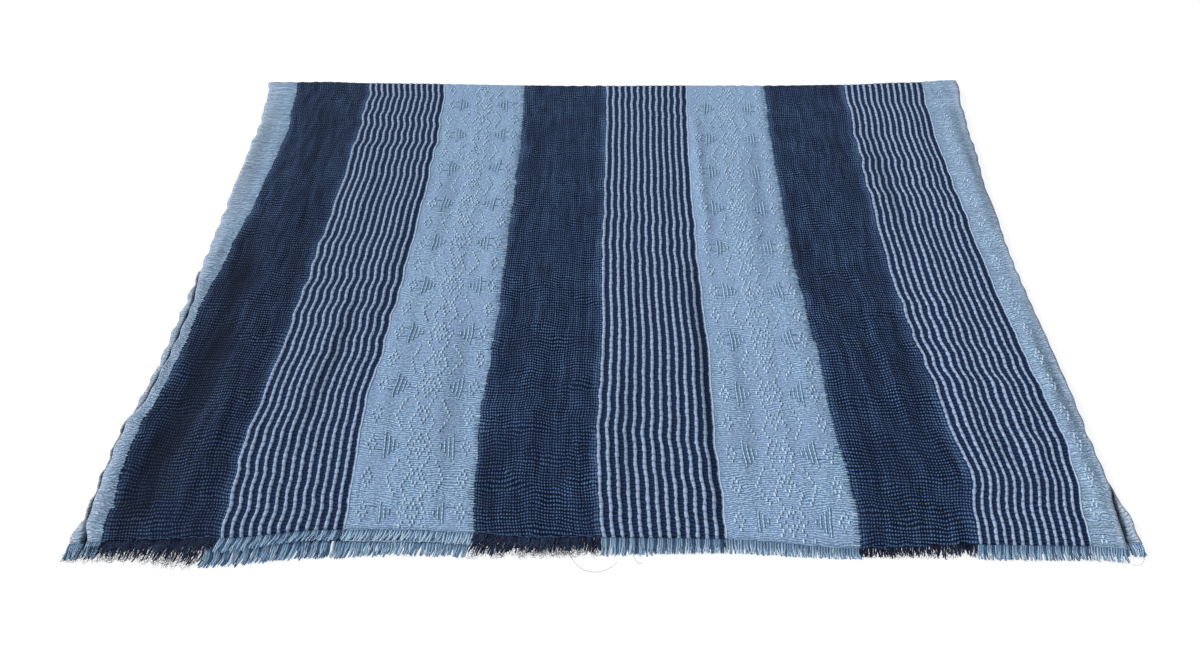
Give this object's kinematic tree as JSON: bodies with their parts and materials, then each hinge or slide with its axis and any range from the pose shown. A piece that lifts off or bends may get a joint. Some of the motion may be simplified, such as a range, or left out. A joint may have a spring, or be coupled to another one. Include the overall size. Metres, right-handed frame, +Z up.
{
  "type": "crinkle scarf",
  "caption": "Crinkled cotton scarf with woven stripes, plain gauze and brocade bands and short fringed ends, folded in quarters and laid flat.",
  "frame": {"origin": "centre of the outline, on the flat underside", "axes": "+X across the cloth to its right selvedge, +Y from the fringed ends to the fold, +Z up from the surface that the scarf lies on"},
  "size_m": [0.617, 0.4804, 0.0081],
  "materials": {
    "banded_cotton": "matt crinkled cotton in bands of dark navy gauze, light blue cords and light blue brocade",
    "folded_cotton": "the same cotton, seen at the edges of the fold",
    "fringe_yarn": "loose twisted cotton yarn, blue with navy between"
  },
  "bodies": {
    "root": {"upper_leaf": "banded_cotton", "under_leaves": "folded_cotton", "upper_fringe": "fringe_yarn", "lower_fringe": "fringe_yarn"}
  },
  "joints": []
}
